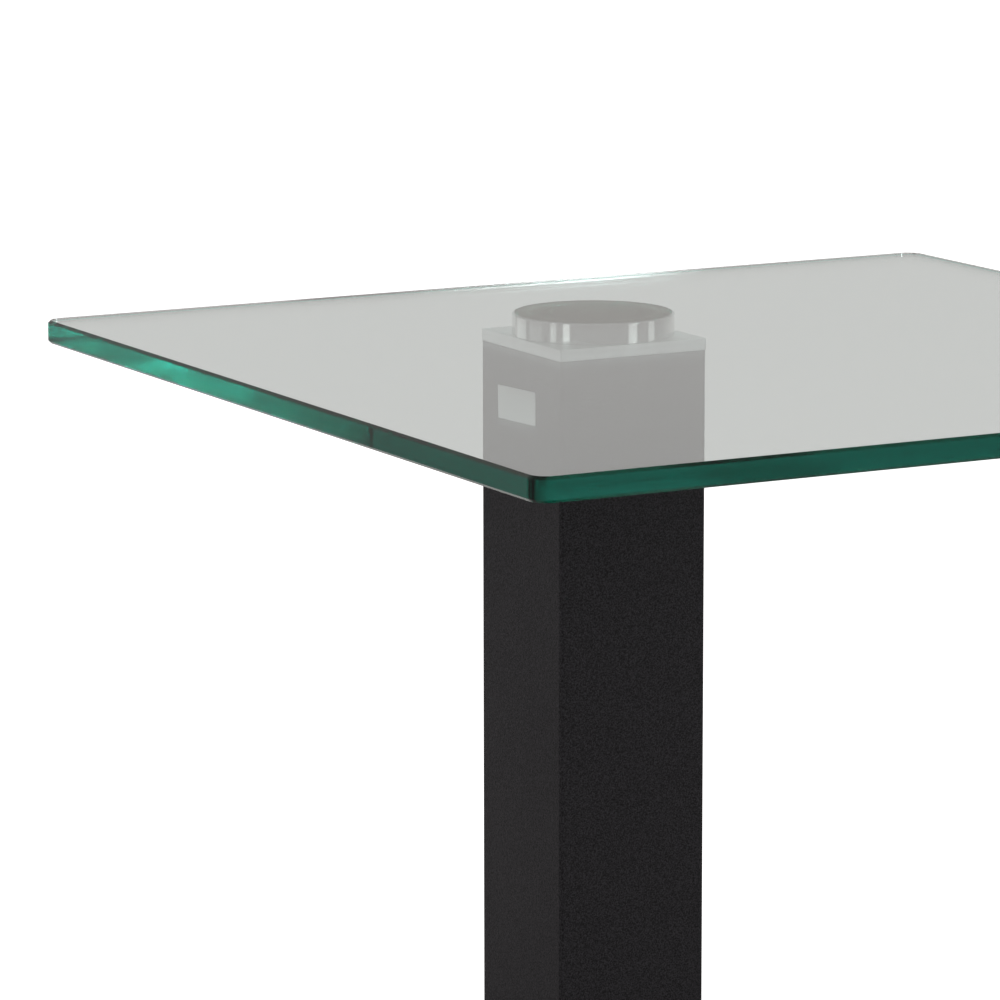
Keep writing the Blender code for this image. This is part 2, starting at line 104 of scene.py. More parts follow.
# Studio. Directions are from the post: the camera looks along BACK.
BACK = (0.4735, 0.8808, 0.0)
FRONT_RIGHT, RIGHT = (0.4735, -0.8808), (0.872, -0.489)
LEFT, FAR_LEFT = (-0.922, -0.387), (-0.999, -0.048)
ROOM_FRONT, ROOM_BACK = (0.225, 0.220, 0.217, 1.0), (0.596, 0.563, 0.553, 1.0)
FLOOR_FRONT, FLOOR_BACK = (0.225, 0.220, 0.217, 1.0), (0.726, 0.688, 0.676, 1.0)
# In front, as seen by rays that come out of glass. Steep rays up get the floor's grey too.
ROOM_THROUGH_GLASS = (0.010, 0.010, 0.010, 1.0)
FLOOR_THROUGH_GLASS = (0.670, 0.645, 0.632, 1.0)
STEEP_RISE = (0.24, 0.34)  # of a ray's direction, where the one grey turns into the other
FLOOR_HALF_SIZE, FLOOR_DROP = 60.0, 0.0003
PANEL_DISTANCE, SLAT_DISTANCE = 2.6, 0.9
SLAT_SPAN = (0.765, 1.15)  # only above the glass
LENGTHWAYS_BOUNCES = 4.5  # a ray that runs from edge to edge bounces more often than this


# Materials ---------------------------------------------------------------------------------

def node(tree, kind, settings=None, values=None, **inputs):
    """A shader node. Inputs are named with _ for spaces; values sets them by position."""
    made = tree.nodes.new("ShaderNode" + kind)
    for name, value in (settings or {}).items():
        setattr(made, name, value)
    named = [(made.inputs[name.replace("_", " ")], value) for name, value in inputs.items()]
    numbered = [(made.inputs[i], value) for i, value in enumerate(values or [])]
    for socket, value in named + numbered:
        connect(tree, value, socket)
    return made


def connect(tree, value, socket):
    if isinstance(value, bpy.types.NodeSocket):
        tree.links.new(value, socket)
    else:
        socket.default_value = value


def math_node(tree, operation, *values):
    return node(tree, "Math", {"operation": operation}, list(values)).outputs[0]


def vector_node(tree, operation, *values):
    made = node(tree, "VectorMath", {"operation": operation}, list(values))
    return made.outputs["Value" if operation in ("DOT_PRODUCT", "LENGTH") else "Vector"]


def map_range(tree, value, low, high, new_low, new_high, smooth=False):
    settings = {"interpolation_type": "SMOOTHSTEP" if smooth else "LINEAR"}
    values = [value, low, high, new_low, new_high]
    return node(tree, "MapRange", settings, values).outputs["Result"]


def mix_colour(tree, factor, first, second):
    made = node(tree, "Mix", {"data_type": "RGBA"})
    for index, value in ((0, factor), (6, first), (7, second)):
        connect(tree, value, made.inputs[index])
    return made.outputs[2]


def grey(value):
    return (value, value, value, 1.0)


def local_point(tree, stretch=(1.0, 1.0, 1.0)):
    """The piece's own coordinates in metres, stretched."""
    place = node(tree, "TexCoord").outputs["Object"]
    return node(tree, "Mapping", {"vector_type": "POINT"}, Vector=place, Scale=stretch).outputs[0]


def noise(tree, vector, scale, detail=2.0, roughness=0.5):
    made = node(tree, "TexNoise", Vector=vector, Scale=scale, Detail=detail, Roughness=roughness)
    return made.outputs["Fac"]


def bump(tree, height, distance):
    return node(tree, "Bump", Height=height, Distance=distance).outputs["Normal"]


def face_rise(tree):
    """1 on level faces, 0 on upright ones, in the piece's own frame."""
    normal = node(tree, "TexCoord").outputs["Normal"]
    return math_node(tree, "ABSOLUTE", node(tree, "SeparateXYZ", Vector=normal).outputs["Z"])


def finish_material(name, metallic=0.0, colour=None, roughness=None, relief=None, **fixed):
    """A Principled material. roughness is a link; relief is (height link, depth in metres)."""
    material = bpy.data.materials.new(name)
    material.use_nodes = True
    tree = material.node_tree
    shader = tree.nodes["Principled BSDF"]
    shader.inputs["Metallic"].default_value = metallic
    for socket, value in fixed.items():
        shader.inputs[socket.replace("_", " ")].default_value = value
    if colour:
        connect(tree, colour(tree), shader.inputs["Base Color"])
    if roughness:
        connect(tree, roughness(tree), shader.inputs["Roughness"])
    if relief:
        height, depth = relief
        tree.links.new(bump(tree, height(tree), depth), shader.inputs["Normal"])
    return material


def clear_glass():
    """Float glass: clear faces, edges polished lengthways, and finely ground arrises. Light
    that goes a long way through it turns green."""
    def polishing(tree):
        upright = math_node(tree, "LESS_THAN", face_rise(tree), 0.3)
        lines = noise(tree, local_point(tree, (0.002, 0.002, 1.0)), 7000.0, 2.0, 0.6)
        return math_node(tree, "MULTIPLY", upright, lines)

    def sloping(tree):
        rise = face_rise(tree)
        return math_node(tree, "MULTIPLY", math_node(tree, "GREATER_THAN", rise, 0.3),
                         math_node(tree, "LESS_THAN", rise, 0.95))

    def arris_colour(tree):
        return mix_colour(tree, sloping(tree), grey(1.0), (0.10, 0.46, 0.36, 1.0))

    def arris_roughness(tree):
        ground = map_range(tree, noise(tree, local_point(tree), 900.0, 3.0), 0.3, 0.7, 0.10, 0.22)
        return math_node(tree, "MULTIPLY", sloping(tree), ground)

    material = finish_material(
        "clear_glass", 0.0, arris_colour, arris_roughness, (polishing, 0.000008),
        Transmission_Weight=1.0, IOR=1.52)
    tree = material.node_tree
    green = node(tree, "VolumeAbsorption", Color=(0.14, 0.675, 0.62, 1.0), Density=12.0)
    tree.links.new(green.outputs[0], tree.nodes["Material Output"].inputs["Volume"])
    return material


def turned_steel(name, dark, light):
    """Circular lathe lines on the disc's faces, and a smooth, bright side."""
    def lines(tree, scale):
        place = node(tree, "SeparateXYZ", Vector=node(tree, "TexCoord").outputs["Object"]).outputs
        squares = [math_node(tree, "MULTIPLY", place[a], place[a]) for a in ("X", "Y")]
        radius = math_node(tree, "SQRT", math_node(tree, "ADD", *squares))
        fine = noise(tree, node(tree, "CombineXYZ", X=radius).outputs[0], scale, 4.0, 0.7)
        return map_range(tree, fine, 0.3, 0.7, 0.0, 1.0)

    def blend(tree, value, elsewhere):
        level = math_node(tree, "GREATER_THAN", face_rise(tree), 0.5)
        lifted = math_node(tree, "MULTIPLY", math_node(tree, "SUBTRACT", value, elsewhere), level)
        return math_node(tree, "ADD", lifted, elsewhere)

    def colour(tree):
        patches = noise(tree, local_point(tree, (1.0, 1.0, 0.3)), 260.0, 3.0)
        marks = blend(tree, lines(tree, 300.0), patches)
        return mix_colour(tree, marks, dark, light)

    def roughness(tree):
        fine = blend(tree, lines(tree, 900.0), noise(tree, local_point(tree), 500.0, 2.0))
        return map_range(tree, fine, 0.3, 0.7, 0.08, 0.13)

    material = finish_material(
        name, 1.0, colour, roughness,
        (lambda tree: blend(tree, lines(tree, 1100.0), 0.5), 0.000012),
        Anisotropic=0.75, Anisotropic_Rotation=0.25)
    tree = material.node_tree
    tangent = node(tree, "Tangent", {"direction_type": "RADIAL", "axis": "Z"}).outputs[0]
    tree.links.new(tangent, tree.nodes["Principled BSDF"].inputs["Tangent"])
    return material


def brushed_steel():
    """Brushing along the cap plate's sides, and soft patches on its top."""
    def strokes(tree):
        return noise(tree, local_point(tree, (0.05, 0.05, 1.0)), 3600.0, 3.0, 0.6)

    def colour(tree):
        patches = noise(tree, local_point(tree), 90.0, 3.0)
        both = math_node(tree, "ADD", math_node(tree, "MULTIPLY", strokes(tree), 0.6),
                         math_node(tree, "MULTIPLY", patches, 0.4))
        return mix_colour(tree, both, (0.72, 0.715, 0.705, 1.0), (0.90, 0.895, 0.885, 1.0))

    return finish_material(
        "brushed_steel", 1.0, colour,
        lambda tree: map_range(tree, strokes(tree), 0.3, 0.7, 0.36, 0.46),
        (strokes, 0.000006))


def powder_coat():
    """Matte black with the fine pimpled grain of a baked powder."""
    def grain(tree):
        return noise(tree, local_point(tree), 1500.0, 2.0, 0.7)

    def colour(tree):
        return mix_colour(tree, map_range(tree, grain(tree), 0.35, 0.65, 0.0, 1.0),
                          (0.0008, 0.0006, 0.0009, 1.0), (0.0300, 0.0275, 0.0315, 1.0))

    def roughness(tree):
        handling = noise(tree, local_point(tree), 9.0, 4.0, 0.6)
        return map_range(tree, handling, 0.3, 0.7, 0.52, 0.62)

    def height(tree):
        peel = noise(tree, local_point(tree), 520.0, 1.0)
        return math_node(tree, "ADD", grain(tree), math_node(tree, "MULTIPLY", peel, 0.6))

    return finish_material("black_powder_coat", 0.0, colour, roughness, (height, 0.00018),
                           Specular_IOR_Level=0.16)


def label_paper():
    def fibres(tree):
        return noise(tree, local_point(tree, (1.0, 1.0, 0.5)), 2200.0, 3.0)

    return finish_material(
        "label_paper", 0.0,
        lambda tree: mix_colour(tree, fibres(tree), (0.68, 0.68, 0.66, 1.0), (0.82, 0.82, 0.81, 1.0)),
        lambda tree: map_range(tree, fibres(tree), 0.3, 0.7, 0.45, 0.60),
        (fibres, 0.00001))


def zinc_plate():
    """Bright zinc with faint yellow and blue patches of passivation."""
    def patches(tree):
        return noise(tree, local_point(tree), 160.0, 3.0, 0.6)

    def colour(tree):
        return mix_colour(tree, map_range(tree, patches(tree), 0.35, 0.65, 0.0, 1.0),
                          (0.60, 0.60, 0.57, 1.0), (0.66, 0.68, 0.71, 1.0))

    def spangle(tree):
        return noise(tree, local_point(tree), 2400.0, 2.0)

    return finish_material(
        "zinc_plated_steel", 1.0, colour,
        lambda tree: map_range(tree, patches(tree), 0.3, 0.7, 0.26, 0.40), (spangle, 0.000008))


def milled_aluminium():
    def passes(tree):
        return noise(tree, local_point(tree, (1.0, 0.05, 1.0)), 2600.0, 2.0)

    return finish_material(
        "milled_aluminium", 1.0,
        lambda tree: mix_colour(tree, passes(tree), (0.70, 0.70, 0.71, 1.0), (0.80, 0.80, 0.81, 1.0)),
        lambda tree: map_range(tree, passes(tree), 0.3, 0.7, 0.32, 0.46), (passes, 0.00001))


def moulded(name, dark, light, scale, low, high, depth):
    """Moulded black plastic or rubber with a fine even texture."""
    def texture(tree):
        return noise(tree, local_point(tree), scale, 3.0, 0.6)

    return finish_material(
        name, 0.0, lambda tree: mix_colour(tree, texture(tree), dark, light),
        lambda tree: map_range(tree, texture(tree), 0.3, 0.7, low, high), (texture, depth))


# Outlines ----------------------------------------------------------------------------------

def soften(profile, size, steps=4):
    """Round a profile's corners, all but its two ends. A point past each end of a curve keeps
    the flats flat."""
    points = [profile[0]]
    for before, corner, after in zip(profile, profile[1:], profile[2:]):
        corner = Vector(corner)
        arms = [Vector(end) - corner for end in (before, after)]
        reach = min(size, *(arm.length * 0.4 for arm in arms))
        start, end = (corner + arm.normalized() * reach for arm in arms)
        guards = [corner + arm.normalized() * reach * 1.2 for arm in arms]
        curve = []
        for step in range(steps + 1):
            t = step / steps
            curve.append(start * (1 - t) ** 2 + corner * 2 * t * (1 - t) + end * t ** 2)
        points += [guards[0], *curve, guards[1]]
    return [tuple(point) for point in points] + [profile[-1]]


def round_ring(radius, z, steps, centre=(0.0, 0.0)):
    turn = 2 * math.pi / steps
    return [
        (centre[0] + radius * math.cos(i * turn), centre[1] + radius * math.sin(i * turn), z)
        for i in range(steps)
    ]


def hex_reach(flats, angle):
    """From the axis to a hexagon's side, with corners at 0, 60, 120 ... degrees."""
    return flats / 2 / math.cos(math.fmod(angle, math.pi / 3) - math.pi / 6)


def hex_ring(flats, z, steps):
    angles = [2 * math.pi * i / steps for i in range(steps)]
    return [
        (hex_reach(flats, a) * math.cos(a), hex_reach(flats, a) * math.sin(a), z) for a in angles
    ]


def bevelled_hex_ring(flats, face, z, steps):
    """Where a hexagon meets the cone that takes its corners off, falling away from z."""
    points = []
    for i in range(steps):
        angle = 2 * math.pi * i / steps
        reach = hex_reach(flats, angle)
        fall = max(0.0, reach - face / 2) * NUT_SLOPE
        points.append((reach * math.cos(angle), reach * math.sin(angle), z - fall))
    return points


def square_ring(side, corner, z, corner_steps):
    """A square with round corners. A point close to each arc keeps its shading off the flats."""
    centre = side / 2 - corner
    guard = 0.0006
    points = []
    for quarter in range(4):
        start = quarter * math.pi / 2
        middle = start + math.pi / 4
        x = math.copysign(centre, math.cos(middle))
        y = math.copysign(centre, math.sin(middle))
        arc = [start + step / corner_steps * math.pi / 2 for step in range(corner_steps + 1)]
        outline = [(x + corner * math.cos(angle), y + corner * math.sin(angle)) for angle in arc]
        before = (math.sin(start) * guard, -math.cos(start) * guard)
        after = (-math.cos(start) * guard, -math.sin(start) * guard)
        outline.insert(0, (outline[0][0] + before[0], outline[0][1] + before[1]))
        outline.append((outline[-1][0] + after[0], outline[-1][1] + after[1]))
        points += [(px, py, z) for px, py in outline]
    return points


def thread_rings(diameter, pitch, low, high, chamfer):
    """Rings of a helical thread, fading into a chamfer at both ends."""
    depth, radius = THREAD_DEPTH * pitch, diameter / 2
    rows = max(4, round((high - low) / pitch * THREAD_ROWS))
    rings = []
    for row in range(rows + 1):
        z = low + (high - low) * row / rows
        limit = radius - max(0.0, chamfer - min(z - low, high - z))
        ring = []
        for i in range(THREAD_STEPS):
            angle = 2 * math.pi * i / THREAD_STEPS
            phase = (z / pitch - angle / (2 * math.pi)) % 1.0
            groove = min(1.0, max(0.0, abs(2 * phase - 1) * 1.3 - 0.15))
            r = min(limit, radius - depth * groove)
            ring.append((r * math.cos(angle), r * math.sin(angle), z))
        rings.append(ring)
    return rings


# Meshes ------------------------------------------------------------------------------------

def stack(rings, joined=False, bm=None):
    """Bridge rings of equally many points, anticlockwise from above, into one closed mesh.
    Joined, the last ring leads back to the first one; otherwise both are capped."""
    bm = bm or bmesh.new()
    loops = [[bm.verts.new(point) for point in ring] for ring in rings]
    following = loops[1:] + loops[:1] if joined else loops[1:]
    for lower, upper in zip(loops, following):
        for i in range(len(lower)):
            j = (i + 1) % len(lower)
            bm.faces.new((lower[i], lower[j], upper[j], upper[i]))
    if not joined:
        bm.faces.new(list(reversed(loops[0])))
        bm.faces.new(loops[-1])
    return bm


def lathe(profile, steps, joined=False):
    """Turn a profile of (radius, z), from the low end outwards and up."""
    return stack([round_ring(radius, z, steps) for radius, z in profile], joined)


def square_slab(side, corner, low, high, edge, corner_steps):
    """A plate between two heights with softened edges."""
    margin = edge * 3
    outline = [(margin, low), (0.0, low), (0.0, high), (margin, high)]
    return stack([
        square_ring(side - 2 * inset, max(corner - inset, corner * 0.1), z, corner_steps)
        for inset, z in soften(outline, edge)
    ])


def shade(mesh, sharp):
    mesh.shade_smooth()
    mesh.set_sharp_from_angle(angle=math.radians(sharp))


def piece(name, bm, material, location, replaces, body="pedestal", sharp=35.0):
    """A visible piece that stands for a CAD node and rides on its body."""
    mesh = bpy.data.meshes.new(name)
    bm.to_mesh(mesh)
    bm.free()
    shade(mesh, sharp)
    mesh.materials.append(material)
    made = bpy.data.objects.new(name, mesh)
    made.location = location
    bpy.context.scene.collection.objects.link(made)
    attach(made, body)
    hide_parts(replaces)
    return made


def cut(target, holes, sharp=35.0):
    """Take turned holes out of a piece. Each is a centre and a profile of (diameter, z)."""
    bm = bmesh.new()
    for centre, profile in holes:
        stack([round_ring(d / 2, z, SMALL_STEPS, centre) for d, z in profile], bm=bm)
    mesh = bpy.data.meshes.new(target.name + "_holes")
    bm.to_mesh(mesh)
    bm.free()
    cutter = bpy.data.objects.new(mesh.name, mesh)
    cutter.location = target.location
    bpy.context.scene.collection.objects.link(cutter)
    modifier = target.modifiers.new("holes", "BOOLEAN")
    modifier.operation, modifier.solver, modifier.object = "DIFFERENCE", "EXACT", cutter
    bpy.context.view_layer.update()
    graph = bpy.context.evaluated_depsgraph_get()
    drilled = bpy.data.meshes.new_from_object(target.evaluated_get(graph))
    target.modifiers.remove(modifier)
    bpy.data.objects.remove(cutter)
    target.data = drilled
    shade(drilled, sharp)


def middle(node_name):
    """A node's centre and size."""
    low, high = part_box(node_name)
    return (low + high) / 2, high - low


def foot_of(node_name):
    """The middle of a node's underside, and its size."""
    centre, size = middle(node_name)
    return Vector((centre.x, centre.y, centre.z - size.z / 2)), size


def screw_places():
    half = SCREW_SPACING / 2
    return [(-half, -half), (half, -half), (half, half), (-half, half)]


# Pieces ------------------------------------------------------------------------------------

def glass_plate(material):
    """The glass top, with flat ground arrises and round corners."""
    centre, size = middle("glass_top")
    side, half, steps = size.x, size.z / 2, 24
    levels = [(GLASS_ARRIS, -half), (0.0, GLASS_ARRIS - half), (0.0, half - GLASS_ARRIS),
              (GLASS_ARRIS, half)]
    bm = stack([
        square_ring(side - 2 * inset, GLASS_CORNER - inset, z, steps) for inset, z in levels
    ])
    return piece("glass_plate", bm, material, centre, "glass_top", sharp=20.0)


def bonded_face(material):
    """The cured adhesive wets glass and steel, so through the glass it shows the turned face."""
    place, size = foot_of("bond_film")
    disc_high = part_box("glass_boss")[1].z
    radius, top = size.x / 2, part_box("glass_top")[0].z + HAIR - disc_high
    profile = [(radius - 0.0003, -HAIR), (radius, top * 0.3), (radius, top * 0.7),
               (radius - 0.0002, top)]
    place.z = disc_high
    piece("bonded_face", lathe(profile, LATHE_STEPS), material, place, "bond_film",
          sharp=20.0)


def turned_disc(material):
    """The steel disc, from the cap plate to just under the glass."""
    place, size = foot_of("glass_boss")
    place.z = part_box("cap_plate")[1].z + HAIR
    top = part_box("glass_top")[0].z - 0.0004 - place.z
    radius, hole, rod_end = size.x / 2, ROD_DIAMETER / 2 + PLAY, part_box("tie_rod")[1].z - place.z
    outline = [(hole, rod_end + PLAY), (hole, 0.0), (radius, 0.0), (radius, top),
               (radius * 0.7, top)]
    profile = [outline[0], outline[1]] + soften(outline[1:], 0.0003)[1:]
    disc = piece("turned_disc", lathe(profile, LATHE_STEPS), material, place, "glass_boss",
                 sharp=40.0)
    dowel_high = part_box("boss_dowel")[1].z - place.z + PLAY
    dowel_hole = [(DOWEL_DIAMETER + 2 * PLAY, z) for z in (-OVERSHOOT, dowel_high)]
    cut(disc, [((0.0, -DOWEL_RADIUS), dowel_hole)], sharp=40.0)
    return disc


def post_cap(material):
    """The bare plate on top of the post."""
    place, size = foot_of("cap_plate")
    place.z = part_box("post_tube")[1].z + HAIR
    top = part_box("cap_plate")[1].z - place.z
    bm = square_slab(size.x, CAP_CORNER, 0.0, top, CAP_EDGE, 8)
    cap = piece("post_cap", bm, material, place, "cap_plate", sharp=40.0)
    dowel_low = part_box("boss_dowel")[0].z - place.z - PLAY
    below, above = -OVERSHOOT, top + OVERSHOOT
    holes = [((0.0, 0.0), [(ROD_DIAMETER + 2 * PLAY, z) for z in (below, above)]),
             ((0.0, -DOWEL_RADIUS), [(DOWEL_DIAMETER + 2 * PLAY, z) for z in (dowel_low, above)])]
    screw_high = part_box("spigot_screw_1")[1].z - place.z + PLAY
    for spot in screw_places():
        holes.append((spot, [(CAP_SCREW_DIAMETER + 2 * PLAY, z) for z in (below, screw_high)]))
    cut(cap, holes, sharp=40.0)


def post(material):
    """The square tube, open inside, with its corners rolled round."""
    place, size = foot_of("post_tube")
    side, length, edge, steps = size.x, size.z, 0.0002, 12
    inside = square_ring(side - 2 * POST_WALL, POST_INSIDE_CORNER, 0.0, steps)
    outline = [(POST_WALL / 2, 0.0), (0.0, 0.0), (0.0, length), (POST_WALL / 2, length)]
    rings = [inside]
    rings += [
        square_ring(side - 2 * inset, max(POST_CORNER - inset, 0.0004), z, steps)
        for inset, z in soften(outline, edge, 3)
    ]
    rings.append([(x, y, length) for x, y, _ in inside])
    return piece("post", stack(rings, joined=True), material, place, "post_tube",
                 sharp=40.0)


def sticker(material):
    """A blank paper label on the post's left face, with one lower corner lifting slightly."""
    low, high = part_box("label")
    post_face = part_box("post_tube")[0].x
    centre = Vector((post_face, (low.y + high.y) / 2, (low.z + high.z) / 2))
    length, height, corner = LABEL_LENGTH, LABEL_HEIGHT, LABEL_CORNER

    def outline(scale):
        points = []
        for quarter in range(4):
            start = quarter * math.pi / 2
            x = math.copysign(length / 2 - corner, math.cos(start + math.pi / 4))
            y = math.copysign(height / 2 - corner, math.sin(start + math.pi / 4))
            for step in range(9):
                angle = start + step / 8 * math.pi / 2
                points.append((scale * (x + corner * math.cos(angle)),
                               scale * (y + corner * math.sin(angle))))
        return points

    def rise(u, v):
        reach = max(0.0, 0.55 * u / length - 0.45 * v / height - 0.25)
        return HAIR + LABEL_LIFT * min(1.0, (reach / 0.25) ** 2)

    scales = (0.05, 0.3, 0.5, 0.65, 0.78, 0.88, 0.95, 1.0)
    rings = [[(u, v, rise(u, v)) for u, v in outline(scale)] for scale in scales]
    rings += [
        [(u, v, rise(u, v) + LABEL_THICKNESS) for u, v in outline(scale)]
        for scale in reversed(scales)
    ]
    made = piece("sticker", stack(rings), material, centre, "label", sharp=50.0)
    made.rotation_euler = (math.pi / 2, LABEL_TILT, -math.pi / 2)


def base(material):
    """The steel plate that the post stands on."""
    place, size = foot_of("base_plate")
    bm = square_slab(size.x, BASE_CORNER, 0.0, size.z, BASE_EDGE, 16)
    plate = piece("base", bm, material, place, "base_plate", sharp=40.0)
    post_y = middle("post_tube")[0].y
    over, through = -OVERSHOOT, size.z + OVERSHOOT
    bore, mouth = ROD_BORE_DIAMETER, ROD_BORE_DIAMETER + 2 * ROD_BORE_CHAMFER
    rod = ROD_DIAMETER + 2 * PLAY
    holes = [((0.0, post_y), [(mouth, over), (mouth, 0.0), (bore, ROD_BORE_CHAMFER),
                              (bore, ROD_BORE_DEPTH), (rod, ROD_BORE_DEPTH), (rod, through)])]
    shank, head = SCREW_DIAMETER + 2 * PLAY, SCREW_SINK_DIAMETER
    for x, y in screw_places():
        sink = [(head, over), (head, SCREW_SINK_RIM), (shank, SCREW_SINK_DEPTH), (shank, through)]
        holes.append(((x, post_y + y), sink))
    for number in range(1, 5):
        centre = middle(f"foot_stud_{number}")[0]
        stud_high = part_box(f"foot_stud_{number}")[1].z - place.z + STUD_END_GAP
        stud = STUD_DIAMETER + 2 * PLAY
        holes.append(((centre.x, centre.y), [(stud, over), (stud, stud_high)]))
    cut(plate, holes, sharp=40.0)


def hex_nut(flats, height, hole):
    """A hexagon nut whose corners are turned off above and below."""
    face, bevel, steps = flats * NUT_FACE, 0.0004, NUT_STEPS
    rings = [
        round_ring(hole / 2, bevel, steps),
        round_ring(hole / 2 + bevel, 0.0, steps),
        round_ring(face / 2, 0.0, steps),
        [(x, y, -z) for x, y, z in bevelled_hex_ring(flats, face, 0.0, steps)],
        bevelled_hex_ring(flats, face, height, steps),
        round_ring(face / 2, height, steps),
        round_ring(hole / 2 + bevel, height, steps),
        round_ring(hole / 2, height - bevel, steps),
    ]
    return stack(rings, joined=True)


def washer(outside, hole, thickness):
    outline = [(hole / 2, thickness / 2), (hole / 2, 0.0), (outside / 2, 0.0),
               (outside / 2, thickness), (hole / 2, thickness), (hole / 2, thickness / 2)]
    return lathe(soften(outline, 0.0002, 3)[:-1], SMALL_STEPS, joined=True)


def split_washer(outside, hole, thickness):
    """A spring washer: a square-section ring with softened edges and a narrow split."""
    gap, edge = math.radians(8), 0.00018
    inner, outer = hole / 2, outside / 2
    outline = [(inner + edge, 0.0), (inner, edge), (inner, thickness - edge),
               (inner + edge, thickness), (outer - edge, thickness), (outer, thickness - edge),
               (outer, edge), (outer - edge, 0.0)]
    sections = []
    for step in range(NUT_STEPS + 1):
        angle = gap / 2 + step / NUT_STEPS * (2 * math.pi - gap)
        sections.append([(r * math.cos(angle), r * math.sin(angle), z) for r, z in outline])
    return stack(sections)


def clamp_stack(zinc):
    """The rod, threaded at its low end, and the washers and nut on it under the base."""
    hole = ROD_DIAMETER + 2 * PLAY
    place, size = foot_of("tie_washer")
    piece("rod_washer", washer(size.x, hole, size.z), zinc, place, "tie_washer")
    place, size = foot_of("tie_spring_washer")
    piece("rod_spring_washer", split_washer(size.y, hole, size.z), zinc, place,
          "tie_spring_washer")
    place, size = foot_of("tie_nut")
    piece("rod_nut", hex_nut(ROD_NUT_FLATS, size.z, hole), zinc, place, "tie_nut")
    place, size = foot_of("tie_rod")
    plain, edge = ROD_DIAMETER / 2 - ROD_WAIST, 0.0006
    rings = thread_rings(ROD_DIAMETER, ROD_PITCH, 0.0, ROD_THREAD_LENGTH, ROD_CHAMFER)
    rings.append(round_ring(plain, ROD_THREAD_LENGTH + edge, THREAD_STEPS))
    rings.append(round_ring(plain, size.z - edge, THREAD_STEPS))
    rings.append(round_ring(plain - edge, size.z, THREAD_STEPS))
    piece("rod", stack(rings), zinc, place, "tie_rod", sharp=50.0)


def base_screws(zinc):
    """Countersunk screws with hexagon sockets, up into the block in the post's foot."""
    for number in range(1, 5):
        place, size = foot_of(f"base_screw_{number}")
        head, steps = size.x / 2, SMALL_STEPS
        bm = stack([
            round_ring(0.0012, SCREW_SOCKET_DEPTH + 0.0004, steps),
            hex_ring(SCREW_SOCKET, SCREW_SOCKET_DEPTH, steps),
            hex_ring(SCREW_SOCKET, 0.0002, steps),
            hex_ring(SCREW_SOCKET + 0.0004, 0.0, steps),
            round_ring(head - 0.0005, 0.0, steps),
            round_ring(head - 0.0001, 0.0001, steps),
            round_ring(head, 0.0003, steps),
            round_ring(SCREW_DIAMETER / 2, SCREW_HEAD_HEIGHT, steps),
            round_ring(SCREW_DIAMETER / 2, size.z - SCREW_TIP, steps),
            round_ring(SCREW_DIAMETER / 2 - SCREW_TIP, size.z, steps),
        ])
        piece(f"base_screw_head_{number}", bm, zinc, place, f"base_screw_{number}",
              sharp=25.0)


def foot(number, zinc, nylon, rubber):
    """A levelling foot: rubber sole, moulded pad, stud with a hexagon, and its locknut."""
    body, edge = f"foot_{number}", 0.0004
    place, size = foot_of(f"foot_sole_{number}")
    radius, top = size.x / 2, size.z
    profile = list(SOLE_DIMPLE)
    for groove in range(SOLE_GROOVES):
        start = SOLE_GROOVE_START + groove * SOLE_GROOVE_PITCH
        profile += [(start + across, deep) for across, deep in SOLE_GROOVE]
    profile += [(radius - edge, 0.0), (radius, edge), (radius, top), (radius * 0.5, top)]
    piece(f"sole_{number}", lathe(profile, FOOT_STEPS), rubber, place, f"foot_sole_{number}",
          body, sharp=50.0)

    place, size = foot_of(f"foot_pad_{number}")
    radius, top = size.x / 2, size.z
    outline = [(radius * 0.9, 0.0), (radius, 0.0), (radius, PAD_RIM), PAD_SHOULDER,
               (PAD_CROWN_RADIUS, top - 0.0002), (PAD_MOUTH_RADIUS, top),
               (PAD_MOUTH_RADIUS, top - PAD_LIP), (PAD_SOCKET_RADIUS, top - PAD_LIP),
               (PAD_SOCKET_RADIUS, PAD_SOCKET_FLOOR), (0.0020, PAD_SOCKET_FLOOR)]
    piece(f"pad_{number}", lathe(soften(outline, 0.0005), FOOT_STEPS), nylon, place,
          f"foot_pad_{number}", body, sharp=50.0)

    place, size = foot_of(f"foot_stud_{number}")
    bottom = place.z
    hex_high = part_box(f"foot_locknut_{number}")[0].z - PLAY - bottom
    hex_low, flats, steps = hex_high - STUD_HEX_HEIGHT, STUD_FLATS, THREAD_STEPS
    pad_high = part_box(f"foot_pad_{number}")[1].z - bottom
    button, face = pad_high - PAD_LIP - PLAY, flats * NUT_FACE
    rings = [
        round_ring(BUTTON_RADIUS - edge, 0.0, steps),
        round_ring(BUTTON_RADIUS, edge, steps),
        round_ring(BUTTON_RADIUS, button, steps),
        round_ring(NECK_RADIUS, button, steps),
        round_ring(NECK_RADIUS, hex_low, steps),
        round_ring(face / 2, hex_low, steps),
        [(x, y, 2 * hex_low - z) for x, y, z in bevelled_hex_ring(flats, face, hex_low, steps)],
        bevelled_hex_ring(flats, face, hex_high, steps),
        round_ring(face / 2, hex_high, steps),
        round_ring(0.0036, hex_high, steps),
    ]
    rings += thread_rings(STUD_DIAMETER, STUD_PITCH, hex_high + 0.0002, size.z, STUD_CHAMFER)
    piece(f"stud_{number}", stack(rings), zinc, place, f"foot_stud_{number}",
          f"stud_{number}", sharp=50.0)

    place, size = foot_of(f"foot_locknut_{number}")
    nut = hex_nut(flats, size.z, STUD_DIAMETER + 2 * PLAY)
    piece(f"locknut_{number}", nut, zinc, place, f"foot_locknut_{number}")


# Stage -------------------------------------------------------------------------------------

